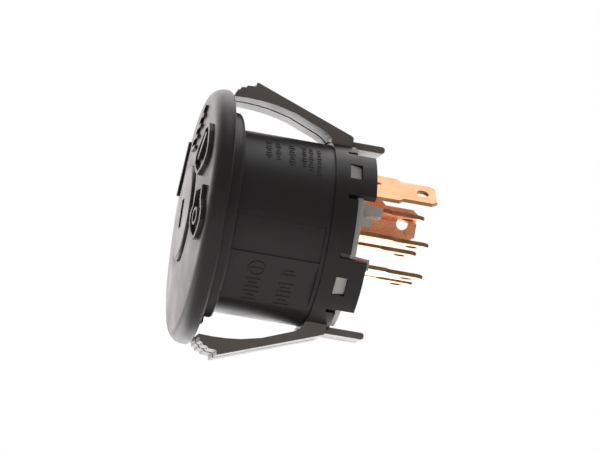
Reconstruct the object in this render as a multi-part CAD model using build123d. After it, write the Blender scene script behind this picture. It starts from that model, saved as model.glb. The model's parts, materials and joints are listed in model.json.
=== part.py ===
from build123d import *
import math
import os

# Snap-in rotary key switch for a dashboard panel.
# Frame (mm): the switch axis is Y, the front faces -Y, +Z is up, and the origin is
# the centre of the bezel's rear face, which seats on the panel.

# --- Driving dimensions ---
BEZEL_R = 25.4           # two inch round bezel
DOME_FRONT = -5.36       # the face is a shallow dome; this is its middle
DOME_R = 180.0
BEZEL_RIM_R = 2.7        # rounding of the front rim
BEZEL_REAR_R = 0.7
SYMBOL_RAISE = 0.8       # height of the moulded position symbols
SYMBOL_LINE_W = 0.7
COLLAR_R = 21.35         # shoulder that centres the bezel in the panel hole
COLLAR_END = 2.75
BARREL_R = 18.2
BARREL_END = 21.3        # the retaining ring starts here
FLAT_DEPTH = 0.85        # marking flat, at its deepest
FLAT_ANGLE = -44.2
CAVITY_R = 14.6
FRONT_WALL_END = 3.2
SPIGOT_R = 16.9          # inner sleeve that the retaining ring slides over
SPIGOT_END = 23.5

RECESS_R = 9.65          # annular gap round the rotor's face
RECESS_END = -2.4
COUNTERSINK_R = 11.2
BORE_R = 9.35
ROTOR_R = 9.3
ROTOR_FRONT = -5.45
KEYWAY_X = -0.9          # the keyway sits a little off the axis
RUNNING_GAP = 0.05
FLANGE_R = 12.2
FLANGE_START = FRONT_WALL_END + RUNNING_GAP
FLANGE_END = 8.2
HUB_R = 5.0
HUB_END = 17.0

SEAL_WIRE_R = 0.52
SEAL_RING_R = 8.80
SEAL_Y = 0.4

BALL_R = 1.2
BALL_ORBIT_R = 10.8
BALL_Y = 4.05
STATIONS_DEG = (0, 45, 90)    # off, run and start
TRACK_GAP = 0.05

RING_R = 18.7
RING_IN_R = 17.0
RING_REAR = 26.0
FINGER_END = 29.5
FINGER_ANGLES = (38, 142, 218, 322)
FINGER_HALF_DEG = 17.8
RELIEF_W = 0.9
RELIEF_START = 24.0
WINDOW_W = 4.0
WINDOW_Y = (24.1, 26.6)

TAB_W = 6.6
TAB_START = 25.45
TAB_ROOT_Z = 17.1
TAB_Z = (18.0, 19.35)
UPPER_TAB_END = 32.3
LOWER_TAB_END = 33.4

WING_W = 11.2
WING_HINGE = (21.5, 18.9)     # (y, z) where the upper arm flexes
WING_GAP = 0.04
WING_FOOT_GAP = 0.32          # lets the foot swing down ahead of the ring
WING_GROOVE_W = 1.0
NOTCH_W = 12.4                # clearance for a folded wing in the collar
NOTCH_Z = 18.25

BASE_FRONT = 23.6
BASE_REAR = 27.1
BASE_R = 16.85
BASE_FLANGE_R = 18.0
PIN_R = 2.5

BLADE_W = 6.35
BLADE_T = 0.8
BLADE_TIP = 42.9
BLADE_NECK = 36.0             # the blade narrows to the connector width here
BLADE_ROOT_W = 8.2
ROOT_START = 28.6             # top of the collar moulded round each blade
STEM_W = 3.2
BLADE_HOLE_R = 1.2
HOLE_FROM_TIP = 2.95
PAD_FRONT = 22.9              # front of the contact pads inside the switch
PAD_R = 1.5

CARRIER_R = 12.6
CARRIER_START = 13.2
CARRIER_END = 20.4
BRIDGE_ANGLES = (80, 200, 320)
BRIDGE_ORBIT_R = 8.2
BRIDGE_SIZE = (8.4, 4.2)
BRIDGE_Y = (21.3, PAD_FRONT - RUNNING_GAP)

# Blade centre (x, z) and turn about Y; 0 means the blade lies level.
TERMINALS = {
    "terminal_upper_near": (9.0, 10.1, 40),
    "terminal_upper_middle": (-2.8, 7.2, 0),
    "terminal_upper_far": (-8.3, 6.8, -80),
    "terminal_centre_near": (5.2, 0.6, 0),
    "terminal_centre_far": (-6.3, 0.5, 0),
    "terminal_lower_near": (3.6, -5.5, 0),
    "terminal_lower_far": (-6.3, -5.4, 0),
}


# --- Shape helpers ---
def cylinder(radius, y0, y1, x=0, z=0):
    """Solid cylinder along Y."""
    height = y1 - y0
    return Pos(x, (y0 + y1) / 2, z) * (Rot(90, 0, 0) * Cylinder(radius, height))


def tube(outer, inner, y0, y1):
    return cylinder(outer, y0, y1) - cylinder(inner, y0 - 1, y1 + 1)


def block(x0, x1, y0, y1, z0, z1):
    centre = Pos((x0 + x1) / 2, (y0 + y1) / 2, (z0 + z1) / 2)
    return centre * Box(x1 - x0, y1 - y0, z1 - z0)


def turned(shape, degrees):
    """Turn a shape about the switch axis, from +X towards +Z."""
    return Rot(0, -degrees, 0) * shape


def side_plate(points_yz, half_width):
    """Extrude a (y, z) outline across X."""
    outline = Polyline(*[(0, y, z) for y, z in points_yz], close=True)
    return extrude(make_face(outline), amount=half_width, dir=(1, 0, 0), both=True)


def face_plate(points_xz, y0, y1):
    """Extrude an (x, z) outline along Y."""
    outline = Polyline(*[(x, y0, z) for x, z in points_xz], close=True)
    return extrude(make_face(outline), amount=y1 - y0, dir=(0, 1, 0))


def coil(radius, wire_r, y0, y1, turns, x=0, z=0):
    """Helical spring with its axis along Y."""
    height = (y1 - y0) - 2 * wire_r
    path = Helix(pitch=height / turns, height=height, radius=radius)
    section = Plane(origin=path @ 0, z_dir=path % 0) * Circle(wire_r)
    wire = sweep(section, path=path, is_frenet=True)
    return Pos(x, y0 + wire_r, z) * (Rot(-90, 0, 0) * wire)


def outer_rounded(shape, y_index, radius):
    """Round the widest circular edge found at the front (0) or rear (-1)."""
    circles = shape.edges().filter_by(GeomType.CIRCLE).group_by(Axis.Y)[y_index]
    return fillet(circles.sort_by(SortBy.RADIUS)[-1], radius)


def as_solid(shape):
    """Return the one solid that a node must be."""
    solids = shape.solids()
    if len(solids) != 1:
        raise ValueError(f"expected one solid, found {len(solids)}")
    return solids[0]


# --- Housing ---
def dome_y(radius, raised=0.0):
    """Y of the domed face, or of a surface raised above it, at a radius."""
    return DOME_FRONT - raised + DOME_R - math.sqrt(DOME_R ** 2 - radius ** 2)


def domed_profile(radius, raised=0.0):
    """Half section of a disc whose front is the dome and whose back is at Y 0."""
    middle = radius / 2
    face = ThreePointArc((0, dome_y(0, raised)), (middle, dome_y(middle, raised)),
                         (radius, dome_y(radius, raised)))
    back = Polyline((radius, dome_y(radius, raised)), (radius, 0), (0, 0), (0, dome_y(0, raised)))
    return make_face([face, back])


def bezel_disc():
    profile = domed_profile(BEZEL_R)
    front = profile.vertices().group_by(Axis.X)[-1].sort_by(Axis.Y)[0]
    profile = fillet(front, BEZEL_RIM_R)
    rear = profile.vertices().group_by(Axis.X)[-1].sort_by(Axis.Y)[-1]
    profile = fillet(rear, BEZEL_REAR_R)
    return revolve(profile, Axis.Y)


def below_dome(raised):
    """Everything behind a surface raised above the face."""
    return revolve(domed_profile(BEZEL_R + 3, raised), Axis.Y)


def inset(points, gap):
    """Move every side of a clockwise outline inwards by the same gap."""
    moved = []
    for index, point in enumerate(points):
        before = Vector(*point) - Vector(*points[index - 1])
        after = Vector(*points[(index + 1) % len(points)]) - Vector(*point)
        inward = [Vector(side.Y, -side.X).normalized() for side in (before, after)]
        bisector = (inward[0] + inward[1]).normalized()
        corner = Vector(*point) + bisector * (gap / bisector.dot(inward[0]))
        moved.append((corner.X, corner.Y))
    return moved


def outline_ridge(points_xz):
    """Closed line of even width that follows an outline on the face."""
    inner = face_plate(inset(points_xz, SYMBOL_LINE_W), -9, 0)
    return face_plate(points_xz, -8, -1) - inner


def line_ridge(start, end, width):
    """Straight raised line on the face between two (x, z) points."""
    dx = end[0] - start[0]
    dz = end[1] - start[1]
    bar = Box(math.hypot(dx, dz), 8, width)
    bar = fillet(bar.edges().filter_by(Axis.Y), 0.45 * width)
    turn = math.degrees(math.atan2(dz, dx))
    return Pos((start[0] + end[0]) / 2, -5.0, (start[1] + end[1]) / 2) * (Rot(0, -turn, 0) * bar)


def position_symbols():
    """Raised pictograms beside the key positions: a comb, a pointer and a dial."""
    comb = line_ridge((-1.4, 13.3), (4.4, 21.3), 0.8)
    for x, z in ((5.5, 19.1), (4.6, 17.1), (3.7, 15.1), (3.1, 12.9)):
        comb += line_ridge((x - 4.4, z), (x, z), 0.8)
    comb &= below_dome(SYMBOL_RAISE - 0.25)

    pointer = outline_ridge([(12.7, 14.2), (12.9, 15.5), (15.9, 15.6), (17.5, 13.9), (18.3, 12.4),
                             (19.1, 10.9), (19.4, 9.0), (18.2, 7.0), (14.4, 5.4), (11.8, 6.5),
                             (9.4, 8.2), (9.2, 10.2), (10.7, 12.3)])
    needle = line_ridge((15.1, 13.9), (12.1, 8.9), 1.1)
    dial = outline_ridge([(15.6, 2.7), (20.7, 2.7), (20.9, 0.0), (22.3, -2.0), (22.4, -4.4),
                          (21.5, -6.1), (19.6, -7.7), (18.2, -7.8), (15.8, -6.4), (14.2, -4.4),
                          (13.8, -2.2), (15.4, -0.4)])
    hub = Pos(17.8, 0, -3.1) * tube(1.75, 1.2, -8, -1)
    tall = below_dome(SYMBOL_RAISE)
    return [comb] + [symbol & tall for symbol in (pointer, needle, dial, hub)]


def guard_rib():
    """Wedge on the far side of the face that rises towards its lower end."""
    low, high = (-12.2, 5.2), (-11.4, 16.4)
    rib = line_ridge(low, high, 1.2)
    tilt = math.degrees(math.atan2(0.8, high[1] - low[1]))
    keep = Pos(0, DOME_FRONT + 0.55, high[1]) * (Rot(-tilt, 0, 0) * Pos(0, 10, 0) * Box(60, 20, 60))
    return rib & keep


def barrel_body():
    """Round barrel with a marking flat and a shallow step above it."""
    flats_end = 20.5
    barrel = cylinder(BARREL_R, COLLAR_END - 1, BARREL_END)
    flat = block(BARREL_R - FLAT_DEPTH, 30, COLLAR_END, flats_end, -15, 15)
    step = tube(BARREL_R + 1, BARREL_R - 0.3, COLLAR_END, flats_end)
    step &= face_plate([(0, 0), (30, -1.75), (30, -14.7)], 0, flats_end)
    return barrel - turned(flat, FLAT_ANGLE) - step


def front_housing():
    bezel = bezel_disc()
    collar = outer_rounded(cylinder(COLLAR_R, -1, COLLAR_END), -1, 0.9)
    for z_side in (1, -1):
        low, high = sorted((z_side * NOTCH_Z, z_side * 30))
        collar -= block(-NOTCH_W / 2, NOTCH_W / 2, 0, COLLAR_END + 1, low, high)
    spigot = cylinder(SPIGOT_R, BARREL_END - 1, SPIGOT_END)
    body = bezel + collar + barrel_body() + spigot
    for symbol in position_symbols():
        body += symbol
    body += guard_rib()

    body -= cylinder(CAVITY_R, FRONT_WALL_END, SPIGOT_END + 1)
    body -= cylinder(BORE_R, DOME_FRONT - 2, FRONT_WALL_END + 1)
    body -= cylinder(RECESS_R, DOME_FRONT - 2, RECESS_END)
    run = 0.8                    # the cone overshoots the face and the gap at both ends
    cone = Cone(RECESS_R - run, COUNTERSINK_R + run, 0.8)
    body -= Pos(0, dome_y(COUNTERSINK_R) + 0.2, 0) * (Rot(90, 0, 0) * cone)

    # Detent track: a groove that the balls ride in, deeper at each key position.
    body -= Pos(0, BALL_Y, 0) * (Rot(90, 0, 0) * Torus(BALL_ORBIT_R, BALL_R + TRACK_GAP))
    for start in (0, 180):
        for station in STATIONS_DEG:
            dimple = Pos(BALL_ORBIT_R, BALL_Y - 0.4, 0) * Sphere(BALL_R + TRACK_GAP)
            body -= turned(dimple, start - station)
    return body


# --- Rotor and switching parts ---
def key_rotor():
    barrel = outer_rounded(cylinder(ROTOR_R, ROTOR_FRONT, FLANGE_START), 0, 0.5)
    flange = cylinder(FLANGE_R, FLANGE_START, FLANGE_END)
    hub = cylinder(HUB_R, FLANGE_END, HUB_END)
    drive_flat = block(-10, 10, CARRIER_START, HUB_END + 1, 3.8, 10)
    rotor = barrel + flange + (hub - drive_flat)
    rotor -= tube(ROTOR_R + 1, SEAL_RING_R - SEAL_WIRE_R - 0.03, SEAL_Y - 0.7, SEAL_Y + 0.7)

    # Keyway: a tall slot with a lead-in and a side ward.
    left = KEYWAY_X - 1.15
    right = KEYWAY_X + 1.15
    rotor -= block(left, right, ROTOR_FRONT - 1, 7.0, -2.6, 2.6)
    rotor -= block(left - 0.35, right + 0.35, ROTOR_FRONT - 1, ROTOR_FRONT + 0.35, -2.9, 2.9)
    rotor -= block(left - 0.55, left + 0.2, ROTOR_FRONT - 1, 7.0, 0.4, 1.4)
    for side in (1, -1):
        rotor -= cylinder(BALL_R + 0.06, FLANGE_START - 1, 7.4, x=side * BALL_ORBIT_R)
    return rotor


def rotor_seal():
    return Pos(0, SEAL_Y, 0) * (Rot(90, 0, 0) * Torus(SEAL_RING_R, SEAL_WIRE_R))


def detent_ball(side):
    return Pos(side * BALL_ORBIT_R, BALL_Y, 0) * Sphere(BALL_R)


def detent_spring(side):
    return coil(0.85, 0.16, BALL_Y + BALL_R + 0.02, 7.38, 4, x=side * BALL_ORBIT_R)


def return_spring():
    """Torsion spring round the hub, with a leg at each end."""
    wire_r = 0.45
    spring = coil(7.0, wire_r, 8.6, 12.8, 3.5)
    front_leg = Rot(0, 90, 0) * Cylinder(wire_r, 5.0)
    spring += Pos(7.0, 8.6 + wire_r, 0) * (Pos(2.5, 0, 0) * front_leg)
    spring += Pos(-7.0, 12.8 - wire_r, 0) * (Pos(-2.0, 0, 0) * (Rot(0, 90, 0) * Cylinder(wire_r, 4.0)))
    return spring


def contact_carrier():
    disc = cylinder(CARRIER_R, CARRIER_START, CARRIER_END)
    disc = outer_rounded(disc, 0, 0.6)
    disc += cylinder(PIN_R + 1.6, CARRIER_END, PAD_FRONT - 0.4)
    disc += cylinder(PIN_R, CARRIER_END, BASE_FRONT + 2.0)
    drive = cylinder(HUB_R + 0.02, CARRIER_START - 1, HUB_END + 0.1)
    drive -= block(-10, 10, CARRIER_START - 2, HUB_END + 2, 3.82, 10)
    disc -= drive
    for angle in BRIDGE_ANGLES:
        width, depth = BRIDGE_SIZE
        pocket = block(BRIDGE_ORBIT_R - depth / 2 - 0.1, BRIDGE_ORBIT_R + depth / 2 + 0.1,
                       CARRIER_END - 1.2, CARRIER_END + 1, -width / 2 - 0.1, width / 2 + 0.1)
        pocket += cylinder(1.9, CARRIER_END - 4.4, CARRIER_END, x=BRIDGE_ORBIT_R)
        disc -= turned(pocket, angle)
    return disc


def bridge_contact(angle):
    """Brass bar with two domed noses that joins neighbouring terminal pads."""
    width, depth = BRIDGE_SIZE
    front, rear = BRIDGE_Y
    bar = block(BRIDGE_ORBIT_R - depth / 2, BRIDGE_ORBIT_R + depth / 2,
                front, rear - 0.6, -width / 2, width / 2)
    bar = fillet(bar.edges().filter_by(Axis.Y), 1.0)
    for z in (-2.7, 2.7):
        bar += cylinder(1.1, front + 0.2, rear, x=BRIDGE_ORBIT_R, z=z)
    return turned(bar, angle)


def contact_spring(angle):
    spring = coil(1.45, 0.2, CARRIER_END - 4.38, BRIDGE_Y[0] - 0.02, 6, x=BRIDGE_ORBIT_R)
    return turned(spring, angle)


# --- Retaining ring and wings ---
def angular_gap(angle, y0, y1, width):
    """Radial slot through the ring wall, centred on an angle."""
    return turned(block(15, 22, y0, y1, -width / 2, width / 2), angle)


def finger_sector(angle, y0, y1, extra_deg=0.0):
    half = math.radians(FINGER_HALF_DEG + extra_deg)
    reach = 30
    wedge = face_plate([(0, 0), (reach, reach * math.tan(-half)), (reach, reach * math.tan(half))],
                       y0, y1)
    return turned(wedge, angle)


def retaining_ring():
    ring = tube(RING_R, RING_IN_R, BARREL_END, RING_REAR)
    for angle in FINGER_ANGLES:
        sleeve = tube(RING_R, RING_IN_R, RING_REAR - 0.5, FINGER_END)
        ring += sleeve & finger_sector(angle, RING_REAR - 0.5, FINGER_END)
    for angle in FINGER_ANGLES:
        ring -= angular_gap(angle, WINDOW_Y[0], WINDOW_Y[1], WINDOW_W)
        for side in (1, -1):
            slot_angle = angle + side * (FINGER_HALF_DEG + 1.8)
            ring -= angular_gap(slot_angle, RELIEF_START, RING_REAR + 1, RELIEF_W)
    for z_side, end in ((1, UPPER_TAB_END), (-1, LOWER_TAB_END)):
        low, high = sorted((z_side * TAB_Z[0], z_side * TAB_Z[1]))
        tab = block(-TAB_W / 2, TAB_W / 2, TAB_START, end, low, high)
        tab = fillet(tab.edges().filter_by(Axis.X).group_by(Axis.Y)[-1], 0.6)
        low, high = sorted((z_side * TAB_ROOT_Z, z_side * TAB_Z[1]))
        ring += tab + block(-TAB_W / 2, TAB_W / 2, TAB_START, RING_REAR + 0.4, low, high)
    return ring


def upper_wing():
    """Toothed arm that springs out behind the panel."""
    inner = [(0.68, 23.8), (3.3, 23.9), (6.2, 23.8), (9.0, 23.5), (13.0, 22.6),
             (18.9, 20.35), (20.3, 19.6), (20.9, 18.9), (21.1, 17.8)]
    outer = [(25.4, 17.8), (25.4, 19.6), (25.0, 20.0), (5.2, 27.2), (4.75, 27.3)]
    teeth = [(4.6, 26.45), (2.95, 26.35), (2.7, 25.95), (1.8, 25.85), (1.55, 25.35),
             (1.1, 25.2), (0.95, 24.7), (0.82, 24.5)]
    arm = side_plate(inner + outer + teeth, WING_W / 2)
    arm -= cylinder(RING_R + WING_GAP, BARREL_END - 0.4, 27)
    arm -= cylinder(RING_R + 4 * WING_GAP, BARREL_END - 0.4, BARREL_END + 0.2)
    arm -= cylinder(BARREL_R + WING_FOOT_GAP, 0, BARREL_END)

    # A narrow groove runs down the middle of the inner and the outer face.
    groove_inner = side_plate([(0, 21.0), (0, 24.5), (6.2, 24.4), (13.2, 23.2), (19.4, 20.9),
                               (21.0, 19.9), (21.7, 18.8), (21.7, 15.0), (16.0, 15.0)],
                              WING_GROOVE_W / 2)
    groove_outer = side_plate([(0, 23.0), (0, 30.0), (6.0, 30.0), (24.4, 22.0), (24.4, 19.7),
                               (4.9, 26.8), (4.2, 25.9), (2.4, 25.4), (1.2, 24.7)],
                              WING_GROOVE_W / 2)
    skew = Rot(0, 0, 4)
    pivot = Pos(-0.2, 12.0, 0) * skew * Pos(0, -12.0, 0)
    return arm - pivot * groove_inner - pivot * groove_outer


def lower_wing():
    return mirror(upper_wing(), about=Plane.XY)


# --- Terminal base and terminals ---
def terminal(x, z, turn):
    """Copper blade with a bevelled tip, a neck, a root, a stem and an inner contact pad."""
    half = BLADE_W / 2
    root = BLADE_ROOT_W / 2
    stem = STEM_W / 2
    right_side = [(half - 0.9, BLADE_TIP), (half, BLADE_TIP - 1.2), (half, BLADE_NECK),
                  (root, BLADE_NECK - 1.0), (root, ROOT_START), (stem, ROOT_START),
                  (stem, PAD_FRONT)]
    outline = right_side + [(-px, py) for px, py in reversed(right_side)]
    wire = Polyline(*[(px, py, 0) for px, py in outline], close=True)
    blade = extrude(make_face(wire), amount=BLADE_T / 2, dir=(0, 0, 1), both=True)
    tip_edges = blade.edges().filter_by(Axis.X).group_by(Axis.Y)[-1]
    blade = chamfer(tip_edges, 0.25)
    blade -= Pos(0, BLADE_TIP - HOLE_FROM_TIP, 0) * Cylinder(BLADE_HOLE_R, 4)
    crease = side_plate([(ROOT_START + 0.2, 0), (ROOT_START + 0.2, BLADE_T / 2 + 0.35),
                         (ROOT_START + 1.0, BLADE_T / 2 + 0.35), (BLADE_NECK - 2.0, 0)], 0.3)
    blade += Pos(-1.1, 0, 0) * crease
    placed = Pos(x, 0, z) * (Rot(0, turn, 0) * blade)

    # The foot runs along the base's inner face to the contact orbit.
    reach = math.hypot(x, z)
    angle = math.degrees(math.atan2(z, x))
    near, far = sorted((reach, BRIDGE_ORBIT_R))
    foot = block(near, far, PAD_FRONT, BASE_FRONT, -1.1, 1.1)
    foot += cylinder(PAD_R, PAD_FRONT, BASE_FRONT, x=BRIDGE_ORBIT_R)
    return placed + turned(foot, angle)


def terminal_base():
    base = cylinder(BASE_R, BASE_FRONT, BASE_REAR)
    flange = cylinder(BASE_FLANGE_R, RING_REAR, BASE_REAR)
    for angle in FINGER_ANGLES:
        notch = finger_sector(angle, RING_REAR - 1, BASE_REAR + 1, 0.5)
        flange -= notch - cylinder(BASE_R, RING_REAR - 2, BASE_REAR + 2)
    for z_side in (1, -1):
        low, high = sorted((z_side * (TAB_ROOT_Z - 0.05), z_side * 20))
        flange -= block(-TAB_W / 2 - 0.1, TAB_W / 2 + 0.1, RING_REAR - 1, 30, low, high)
    base += flange
    for angle in FINGER_ANGLES:
        hook = side_plate([(WINDOW_Y[0] + 0.1, 16.0), (WINDOW_Y[0] + 0.1, 18.45),
                           (WINDOW_Y[1] - 0.1, 17.95), (WINDOW_Y[1] - 0.1, 16.0)],
                          WINDOW_W / 2 - 0.1)
        base += turned(hook, angle - 90)

    # Raised collars round the blade roots, and tapered guide blocks beside them.
    for x, z, turn in TERMINALS.values():
        collar = block(-4.9, 4.9, BASE_REAR - 0.5, ROOT_START, -1.2, 1.2)
        collar = chamfer(collar.edges().group_by(Axis.Y)[-1], 0.4)
        base += Pos(x, 0, z) * (Rot(0, turn, 0) * collar)
    start = BASE_REAR - 0.5
    guides = (
        (7.6, 2.2, [(start, 3.7), (32.5, 4.3), (32.5, 6.1), (start, 6.7)]),
        (10.6, 1.0, [(start, 1.6), (30.3, 1.9), (30.3, 3.2), (start, 3.6)]),
        (7.4, 0.9, [(start, -6.9), (31.5, -6.4), (31.5, -4.3), (start, -3.9)]),
    )
    for x, half_width, outline in guides:
        base += Pos(x, 0, 0) * side_plate(outline, half_width)

    clear = 0.02
    thick = BLADE_T / 2 + clear
    for x, z, turn in TERMINALS.values():
        slot = block(-STEM_W / 2 - clear, STEM_W / 2 + clear, 20, BLADE_NECK, -thick, thick)
        slot += block(-BLADE_ROOT_W / 2 - clear, BLADE_ROOT_W / 2 + clear,
                      ROOT_START, BLADE_NECK, -thick, thick)
        base -= Pos(x, 0, z) * (Rot(0, turn, 0) * slot)
    return base - cylinder(PIN_R + RUNNING_GAP, BASE_FRONT - 1, BASE_FRONT + 2.3)


# --- Write every node ---
def nodes():
    parts = {
        "front_housing": front_housing(),
        "retaining_ring": retaining_ring(),
        "terminal_base": terminal_base(),
        "upper_retaining_wing": upper_wing(),
        "lower_retaining_wing": lower_wing(),
        "key_rotor": key_rotor(),
        "rotor_seal": rotor_seal(),
        "detent_ball_near": detent_ball(1),
        "detent_ball_far": detent_ball(-1),
        "detent_spring_near": detent_spring(1),
        "detent_spring_far": detent_spring(-1),
        "return_spring": return_spring(),
        "contact_carrier": contact_carrier(),
    }
    for name, angle in zip(("upper", "far", "lower"), BRIDGE_ANGLES):
        parts[f"bridge_contact_{name}"] = bridge_contact(angle)
        parts[f"contact_spring_{name}"] = contact_spring(angle)
    for name, place in TERMINALS.items():
        parts[name] = terminal(*place)
    return parts


os.makedirs("parts", exist_ok=True)
for node, shape in nodes().items():
    export_step(as_solid(shape), f"parts/{node}.step")
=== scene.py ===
import json
import math

import bmesh
import bpy
from mathutils import Matrix, Vector


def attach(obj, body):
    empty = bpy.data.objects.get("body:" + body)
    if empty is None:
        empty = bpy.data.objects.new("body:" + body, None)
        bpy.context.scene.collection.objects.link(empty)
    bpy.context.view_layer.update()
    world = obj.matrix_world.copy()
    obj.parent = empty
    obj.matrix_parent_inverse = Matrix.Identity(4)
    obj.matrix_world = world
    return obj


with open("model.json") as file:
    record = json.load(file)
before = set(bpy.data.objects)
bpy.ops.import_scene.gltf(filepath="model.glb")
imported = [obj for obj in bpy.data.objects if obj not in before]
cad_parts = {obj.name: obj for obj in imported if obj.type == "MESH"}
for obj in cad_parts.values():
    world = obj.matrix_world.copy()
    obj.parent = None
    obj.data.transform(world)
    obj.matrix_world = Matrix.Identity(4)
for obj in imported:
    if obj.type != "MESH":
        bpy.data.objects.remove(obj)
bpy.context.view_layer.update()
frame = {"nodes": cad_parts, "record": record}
nodes = frame["nodes"]
subparts = frame["record"]["subparts"]
MM = 0.001

# --- Camera: a long lens, beside the switch and a little below it ---
CAMERA_AZIMUTH = 81.0
CAMERA_ELEVATION = -9.5
CAMERA_ROLL = 8.4
CAMERA_DISTANCE_MM = 700.0
VIEW_WIDTH_MM = 118.58      # what the picture spans at the switch's distance
AIM_Y_MM = 15.2
AIM_RIGHT_MM = 3.1
AIM_UP_MM = 1.1
SENSOR_MM = 36.0


def add_camera():
    azimuth, elevation, roll = map(math.radians, (CAMERA_AZIMUTH, CAMERA_ELEVATION, CAMERA_ROLL))
    back = Vector((math.sin(azimuth) * math.cos(elevation),
                   -math.cos(azimuth) * math.cos(elevation),
                   math.sin(elevation)))
    level_right = Vector((math.cos(azimuth), math.sin(azimuth), 0.0))
    level_up = back.cross(level_right)
    right = level_right * math.cos(roll) + level_up * math.sin(roll)
    up = level_up * math.cos(roll) - level_right * math.sin(roll)
    place = (Vector((0.0, AIM_Y_MM, 0.0)) + back * CAMERA_DISTANCE_MM
             + right * AIM_RIGHT_MM + up * AIM_UP_MM) * MM
    data = bpy.data.cameras.new("photo_camera")
    data.sensor_width = SENSOR_MM
    data.lens = SENSOR_MM * CAMERA_DISTANCE_MM / VIEW_WIDTH_MM
    data.clip_start = 0.05
    data.clip_end = 20.0
    camera = bpy.data.objects.new("photo_camera", data)
    bpy.context.scene.collection.objects.link(camera)
    camera.matrix_world = Matrix((right, up, back)).transposed().to_4x4()
    camera.location = place
    bpy.context.scene.camera = camera


add_camera()


# --- Materials ---
def shader_tree(name):
    """A new material, its node tree and its Principled shader."""
    material = bpy.data.materials.new(name)
    material.use_nodes = True
    tree = material.node_tree
    return material, tree, tree.nodes["Principled BSDF"]


def noise(tree, scale_per_mm, detail, stretch=(1.0, 1.0, 1.0)):
    """Noise in object space; scale_per_mm is how many blotches fit in a millimetre."""
    place = tree.nodes.new("ShaderNodeTexCoord")
    mapping = tree.nodes.new("ShaderNodeMapping")
    mapping.inputs["Scale"].default_value = [axis * scale_per_mm / MM for axis in stretch]
    texture = tree.nodes.new("ShaderNodeTexNoise")
    texture.inputs["Scale"].default_value = 1.0
    texture.inputs["Detail"].default_value = detail
    tree.links.new(place.outputs["Object"], mapping.inputs["Vector"])
    tree.links.new(mapping.outputs["Vector"], texture.inputs["Vector"])
    return texture.outputs["Fac"]


def spread(tree, source, low, high):
    """Map the middle of a noise value's range onto low..high."""
    node = tree.nodes.new("ShaderNodeMapRange")
    node.inputs["From Min"].default_value = 0.3
    node.inputs["From Max"].default_value = 0.7
    node.inputs["To Min"].default_value = low
    node.inputs["To Max"].default_value = high
    tree.links.new(source, node.inputs["Value"])
    return node.outputs["Result"]


def blend_colours(tree, source, dark, light):
    """Turn a noise value into a colour between dark and light."""
    ramp = tree.nodes.new("ShaderNodeValToRGB")
    for stop, position, colour in zip(ramp.color_ramp.elements, (0.32, 0.68), (dark, light)):
        stop.position = position
        stop.color = (*colour, 1.0)
    tree.links.new(source, ramp.inputs["Fac"])
    return ramp.outputs["Color"]


def bump(tree, source, height_mm, strength, under=None):
    """Relief from a noise value, laid over the relief in under if there is one."""
    node = tree.nodes.new("ShaderNodeBump")
    node.inputs["Strength"].default_value = strength
    node.inputs["Distance"].default_value = height_mm * MM
    tree.links.new(source, node.inputs["Height"])
    if under is not None:
        tree.links.new(under, node.inputs["Normal"])
    return node.outputs["Normal"]


FLOW_PER_MM = 0.09
FLOW_STRETCH = (1.0, 0.35, 1.0)
FLOW_HEIGHT_MM = 0.06
SMUDGE_PER_MM = 0.16


def plastic(name, dark, light, roughness, grain_mm, grain_height_mm, gloss=0.5):
    """Moulded plastic: spark-eroded grain, faint flow marks and handling smudges."""
    material, tree, shader = shader_tree(name)
    grain = noise(tree, 1.0 / grain_mm, 3.0)
    flow = noise(tree, FLOW_PER_MM, 4.0, FLOW_STRETCH)
    tree.links.new(blend_colours(tree, flow, dark, light), shader.inputs["Base Color"])
    smudge = noise(tree, SMUDGE_PER_MM, 5.0)
    tree.links.new(spread(tree, smudge, roughness - 0.05, roughness + 0.06),
                   shader.inputs["Roughness"])
    shader.inputs["Specular IOR Level"].default_value = gloss
    wave = bump(tree, flow, FLOW_HEIGHT_MM, 0.12)
    tree.links.new(bump(tree, grain, grain_height_mm, 0.55, wave), shader.inputs["Normal"])
    return material


TARNISH_PER_MM = 0.35
ALONG_Y = (1.0, 0.06, 1.0)
EVEN = (1.0, 1.0, 1.0)


def metal(name, dark, light, roughness, streak, grain_mm=0.12, height_mm=0.004):
    """Bare metal with rolling or drawing lines along the stretch axis and light tarnish."""
    material, tree, shader = shader_tree(name)
    lines = noise(tree, 1.0 / grain_mm, 3.0, streak)
    tarnish = noise(tree, TARNISH_PER_MM, 5.0)
    tree.links.new(blend_colours(tree, tarnish, dark, light), shader.inputs["Base Color"])
    shader.inputs["Metallic"].default_value = 1.0
    tree.links.new(spread(tree, lines, roughness - 0.06, roughness + 0.08),
                   shader.inputs["Roughness"])
    tree.links.new(bump(tree, lines, height_mm, 0.5), shader.inputs["Normal"])
    return material


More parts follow.
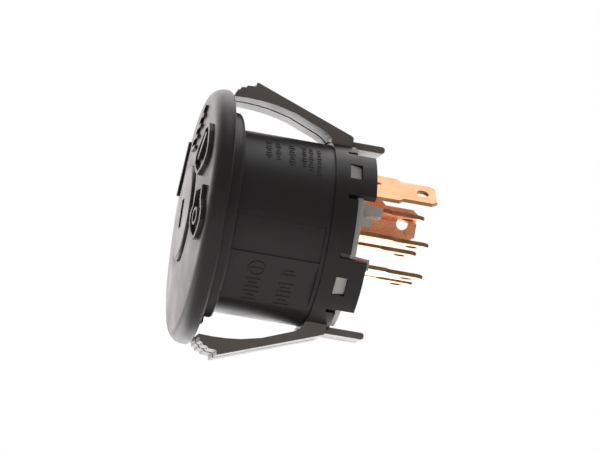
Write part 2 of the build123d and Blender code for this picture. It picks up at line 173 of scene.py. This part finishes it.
BLACK_DARK = (0.0155, 0.0140, 0.0130)
BLACK_LIGHT = (0.0190, 0.0175, 0.0165)
LOOKS = {
    "housing_plastic": plastic("housing_plastic", BLACK_DARK, BLACK_LIGHT, 0.42, 0.36, 0.055, 0.62),
    "ring_plastic": plastic("ring_plastic", (0.0170, 0.0155, 0.0145), (0.0210, 0.0190, 0.0180),
                            0.44, 0.20, 0.010),
    "wing_plastic": plastic("wing_plastic", (0.185, 0.160, 0.145), (0.215, 0.190, 0.172),
                            0.40, 0.22, 0.010, 0.6),
    "rotor_plastic": plastic("rotor_plastic", BLACK_DARK, BLACK_LIGHT, 0.40, 0.34, 0.048, 0.62),
    "base_plastic": plastic("base_plastic", (0.56, 0.565, 0.53), (0.63, 0.635, 0.60),
                            0.45, 0.20, 0.006),
    "carrier_plastic": plastic("carrier_plastic", (0.50, 0.47, 0.41), (0.58, 0.55, 0.49),
                               0.5, 0.25, 0.006),
    "terminal_copper": metal("terminal_copper", (0.86, 0.34, 0.16), (0.95, 0.46, 0.26),
                             0.26, ALONG_Y),
    "contact_brass": metal("contact_brass", (0.68, 0.50, 0.22), (0.80, 0.62, 0.32), 0.28, EVEN),
    "spring_steel": metal("spring_steel", (0.50, 0.50, 0.51), (0.60, 0.60, 0.61), 0.30, EVEN),
    "ball_steel": metal("ball_steel", (0.70, 0.70, 0.71), (0.76, 0.76, 0.77), 0.12, EVEN,
                        0.2, 0.001),
    "seal_rubber": plastic("seal_rubber", (0.016, 0.016, 0.016), (0.022, 0.022, 0.022),
                           0.62, 0.3, 0.006),
}
SHEARED_EDGE = metal("terminal_sheared_edge", (0.36, 0.20, 0.09), (0.55, 0.34, 0.17),
                     0.42, EVEN, 0.3, 0.012)


# --- The CAD nodes: their materials and softened edges ---
def paint_nodes():
    """Give every CAD node the look of its slot in the record."""
    for entry in subparts:
        mesh = nodes[entry["node"]].data
        mesh.materials.clear()
        mesh.materials.append(LOOKS[entry["material_slot"]])


def paint_sheared_edges(node):
    """The cut sides of a stamped blade are duller than its two rolled faces."""
    mesh = node.data
    mesh.materials.append(SHEARED_EDGE)
    along_blade = (face for face in mesh.polygons if abs(face.normal.y) < 0.1)
    rolled = max(along_blade, key=lambda face: face.area).normal.copy()
    for face in mesh.polygons:
        if abs(face.normal.dot(rolled)) < 0.5:
            face.material_index = 1


TAB_START_MM = 26.2
TAB_INNER_Z_MM = 17.9


def paint_rear_tabs(ring):
    """The two tabs behind the wings share the wings' browner plastic."""
    ring.data.materials.append(LOOKS["wing_plastic"])
    for face in ring.data.polygons:
        if face.center.y > TAB_START_MM * MM and abs(face.center.z) > TAB_INNER_Z_MM * MM:
            face.material_index = 1


WELD_MM = 0.001
SHARP_EDGE_DEG = 38
EDGE_ROUNDING_MM = {
    "housing_plastic": 0.10,
    "ring_plastic": 0.14,
    "wing_plastic": 0.14,
    "base_plastic": 0.10,
    "terminal_copper": 0.06,
}


def soften_edges(node, width_mm):
    """Small rounding on the moulded or stamped edges, as real parts have."""
    weld = node.modifiers.new("weld", "WELD")
    weld.merge_threshold = WELD_MM * MM
    edges = node.modifiers.new("edge_rounding", "BEVEL")
    edges.width = width_mm * MM
    edges.segments = 2
    edges.limit_method = "ANGLE"
    edges.angle_limit = math.radians(SHARP_EDGE_DEG)
    edges.harden_normals = False
    shading = node.modifiers.new("shading", "WEIGHTED_NORMAL")
    shading.keep_sharp = True
    shading.weight = 60


def finish_nodes():
    paint_nodes()
    for entry in subparts:
        node = nodes[entry["node"]]
        slot = entry["material_slot"]
        if slot in EDGE_ROUNDING_MM:
            soften_edges(node, EDGE_ROUNDING_MM[slot])
        if slot == "terminal_copper":
            paint_sheared_edges(node)
    paint_rear_tabs(nodes["retaining_ring"])


finish_nodes()


# --- Raised moulding marks on the barrel: bars and a ring, no lettering ---
BARREL_R_MM = 18.2
FLAT_ANGLE_DEG = -44.2
FLAT_DEPTH_MM = 0.85
MARK_HEIGHT_MM = 0.14
MARK_SINK_MM = 0.05
MARK_SLOPE_MM = 0.06

CODE_START_DEG = 55.0
CODE_BAR_WIDTH_MM = 0.34
CODE_COLUMNS = (        # place along the barrel, bar length, angle where the column ends
    (8.0, 1.3, 38),
    (9.9, 1.1, 37),
    (12.6, 1.3, 35),
    (15.0, 0.9, 34),
    (16.4, 0.9, 33),
    (18.0, 0.9, 31),
)
CODE_LENGTH_SHARES = (1.0, 0.55, 0.8)
CODE_STEPS_DEG = (2.0, 2.7, 2.3)

FLAT_COLUMNS_Y_MM = (8.8, 15.2)
FLAT_TOP_UP_MM = 2.2
FLAT_LOWER_UPS_MM = (-1.4, -4.4)
FLAT_LINE_MM = 0.42
FLAT_BAR_PITCH_MM = 0.95
FLAT_LONG_BAR_MM = 2.9
FLAT_SHORT_BAR_MM = 1.7
RING_R_MM = 1.6
RING_STEPS = 28
RING_BAR_MM = (2.2, 0.4)


def join_loops(mesh, first, second):
    """Bridge two closed loops of four vertices with four faces."""
    for index in range(4):
        following = (index + 1) % 4
        mesh.faces.new((first[index], first[following], second[following], second[index]))


def add_bar(mesh, centre, along, across, out, length, width):
    """Low bar with sloping sides; along, across and out are unit vectors."""
    loops = []
    for level, grow in ((-MARK_SINK_MM, MARK_SLOPE_MM), (MARK_HEIGHT_MM, -MARK_SLOPE_MM)):
        loop = []
        for side_a, side_b in ((-1, -1), (1, -1), (1, 1), (-1, 1)):
            point = (centre + out * level + along * side_a * (length / 2 + grow)
                     + across * side_b * (width / 2 + grow))
            loop.append(mesh.verts.new(point * MM))
        loops.append(loop)
    low, high = loops
    mesh.faces.new(high)
    mesh.faces.new(list(reversed(low)))
    join_loops(mesh, low, high)


def add_ring_mark(mesh, centre, along, across, out, radius, width):
    """Raised circle whose section is a low trapezium."""
    inner = radius - width / 2
    outer = radius + width / 2
    section = ((inner, -MARK_SINK_MM), (outer, -MARK_SINK_MM),
               (outer - MARK_SLOPE_MM, MARK_HEIGHT_MM), (inner + MARK_SLOPE_MM, MARK_HEIGHT_MM))
    loops = []
    for step in range(RING_STEPS):
        turn = 2 * math.pi * step / RING_STEPS
        spoke = along * math.cos(turn) + across * math.sin(turn)
        loops.append([mesh.verts.new((centre + spoke * r + out * level) * MM)
                      for r, level in section])
    for step in range(RING_STEPS):
        join_loops(mesh, loops[step], loops[(step + 1) % RING_STEPS])


def directions_at(angle_deg):
    """Along the barrel, round it and outward, at an angle up from the near side."""
    angle = math.radians(angle_deg)
    along = Vector((0.0, 1.0, 0.0))
    across = Vector((-math.sin(angle), 0.0, math.cos(angle)))
    out = Vector((math.cos(angle), 0.0, math.sin(angle)))
    return along, across, out


def place_on_barrel(angle_deg, y):
    """Centre and directions of a mark on the round surface."""
    along, across, out = directions_at(angle_deg)
    return out * BARREL_R_MM + along * y, along, across, out


def place_on_flat(up, y):
    """Centre and directions of a mark on the flat, up millimetres above its middle."""
    along, across, out = directions_at(FLAT_ANGLE_DEG)
    centre = out * (BARREL_R_MM - FLAT_DEPTH_MM) + across * up + along * y
    return centre, along, across, out


def add_code_columns(mesh):
    """Columns of short bars of varying length and spacing."""
    for column, (y, length, end_deg) in enumerate(CODE_COLUMNS):
        angle = CODE_START_DEG
        step = 0
        while angle > end_deg:
            bar_length = length * CODE_LENGTH_SHARES[(step + column) % 3]
            add_bar(mesh, *place_on_barrel(angle, y), bar_length, CODE_BAR_WIDTH_MM)
            angle -= CODE_STEPS_DEG[(step + 2 * column) % 3]
            step += 1


def add_bar_group(mesh, up, y, bars):
    """Long and short bars in turn, one above the other."""
    for index in range(bars):
        offset = (index - (bars - 1) / 2) * FLAT_BAR_PITCH_MM
        length = FLAT_LONG_BAR_MM if index % 2 == 0 else FLAT_SHORT_BAR_MM
        add_bar(mesh, *place_on_flat(up + offset, y), length, FLAT_LINE_MM)


def add_flat_marks(mesh):
    """Front column: a ring round a bar, then groups of bars. Rear column: groups of bars."""
    front_y, rear_y = FLAT_COLUMNS_Y_MM
    add_ring_mark(mesh, *place_on_flat(FLAT_TOP_UP_MM, front_y), RING_R_MM, FLAT_LINE_MM)
    add_bar(mesh, *place_on_flat(FLAT_TOP_UP_MM, front_y), *RING_BAR_MM)
    for up in FLAT_LOWER_UPS_MM:
        add_bar_group(mesh, up, front_y, 3)
    add_bar_group(mesh, FLAT_TOP_UP_MM, rear_y, 2)
    for up in FLAT_LOWER_UPS_MM:
        add_bar_group(mesh, up, rear_y, 3)


def add_marks():
    shape = bmesh.new()
    add_code_columns(shape)
    add_flat_marks(shape)
    bmesh.ops.recalc_face_normals(shape, faces=shape.faces)
    mesh = bpy.data.meshes.new("moulding_marks")
    shape.to_mesh(mesh)
    shape.free()
    mesh.materials.append(LOOKS["housing_plastic"])
    marks = bpy.data.objects.new("moulding_marks", mesh)
    bpy.context.scene.collection.objects.link(marks)
    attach(marks, "housing")


add_marks()


# --- Floor and light, in metres ---
FLOOR_Z = -0.16
FLOOR_HALF_SIDE = 3.0
FLOOR_GREY = 0.84
WHITE = (1.0, 1.0, 1.0, 1.0)
LIGHT_TINT = (1.0, 0.952, 0.945, 1.0)
BRIGHT_SIDE = 2.35
DIM_SIDE = 0.22
FADE_FROM_X = -0.85
FADE_TO_X = -0.15
STUDIO_LIGHTS = (       # name, place, aim, sides, watts
    ("key_above", (-0.12, 0.02, 0.60), (0.0, 0.015, 0.0), (0.4, 0.6), 0.75),
    ("glow_low_behind", (-0.62, 0.08, -0.155), (-0.62, 0.08, 1.0), (1.0, 0.9), 7.0),
)


def add_background(tree, colour, strength=1.0):
    node = tree.nodes.new("ShaderNodeBackground")
    node.inputs["Color"].default_value = colour
    node.inputs["Strength"].default_value = strength
    return node


def add_world():
    """A white sky to the camera; as a light, bright on the far side (-X) and dim elsewhere."""
    world = bpy.data.worlds.new("studio")
    bpy.context.scene.world = world
    world.use_nodes = True
    tree = world.node_tree
    tree.nodes.clear()
    output = tree.nodes.new("ShaderNodeOutputWorld")
    seen = add_background(tree, WHITE)
    lit = add_background(tree, LIGHT_TINT)
    place = tree.nodes.new("ShaderNodeTexCoord")
    axes = tree.nodes.new("ShaderNodeSeparateXYZ")
    fade = tree.nodes.new("ShaderNodeMapRange")
    fade.interpolation_type = "SMOOTHSTEP"
    fade.inputs["From Min"].default_value = FADE_FROM_X
    fade.inputs["From Max"].default_value = FADE_TO_X
    fade.inputs["To Min"].default_value = BRIGHT_SIDE
    fade.inputs["To Max"].default_value = DIM_SIDE
    path = tree.nodes.new("ShaderNodeLightPath")
    mix = tree.nodes.new("ShaderNodeMixShader")
    tree.links.new(place.outputs["Generated"], axes.inputs["Vector"])
    tree.links.new(axes.outputs["X"], fade.inputs["Value"])
    tree.links.new(fade.outputs["Result"], lit.inputs["Strength"])
    tree.links.new(path.outputs["Is Camera Ray"], mix.inputs["Fac"])
    tree.links.new(lit.outputs[0], mix.inputs[1])
    tree.links.new(seen.outputs[0], mix.inputs[2])
    tree.links.new(mix.outputs[0], output.inputs["Surface"])


def add_floor():
    side = FLOOR_HALF_SIDE
    mesh = bpy.data.meshes.new("floor")
    mesh.from_pydata([(-side, -side, FLOOR_Z), (side, -side, FLOOR_Z),
                      (side, side, FLOOR_Z), (-side, side, FLOOR_Z)], [], [(0, 1, 2, 3)])
    floor = bpy.data.objects.new("floor", mesh)
    bpy.context.scene.collection.objects.link(floor)
    material, _, shader = shader_tree("floor_white")
    shader.inputs["Base Color"].default_value = (FLOOR_GREY, FLOOR_GREY, FLOOR_GREY, 1.0)
    shader.inputs["Roughness"].default_value = 0.9
    mesh.materials.append(material)


def add_area_light(name, place, aim, sides, power):
    data = bpy.data.lights.new(name, "AREA")
    data.shape = "RECTANGLE"
    data.size, data.size_y = sides
    data.energy = power
    light = bpy.data.objects.new(name, data)
    bpy.context.scene.collection.objects.link(light)
    light.location = place
    direction = Vector(aim) - Vector(place)
    light.rotation_mode = "QUATERNION"
    light.rotation_quaternion = direction.to_track_quat("-Z", "Y")
    light.visible_camera = False


bpy.context.scene.view_settings.view_transform = "Standard"
add_world()
add_floor()
for studio_light in STUDIO_LIGHTS:
    add_area_light(*studio_light)
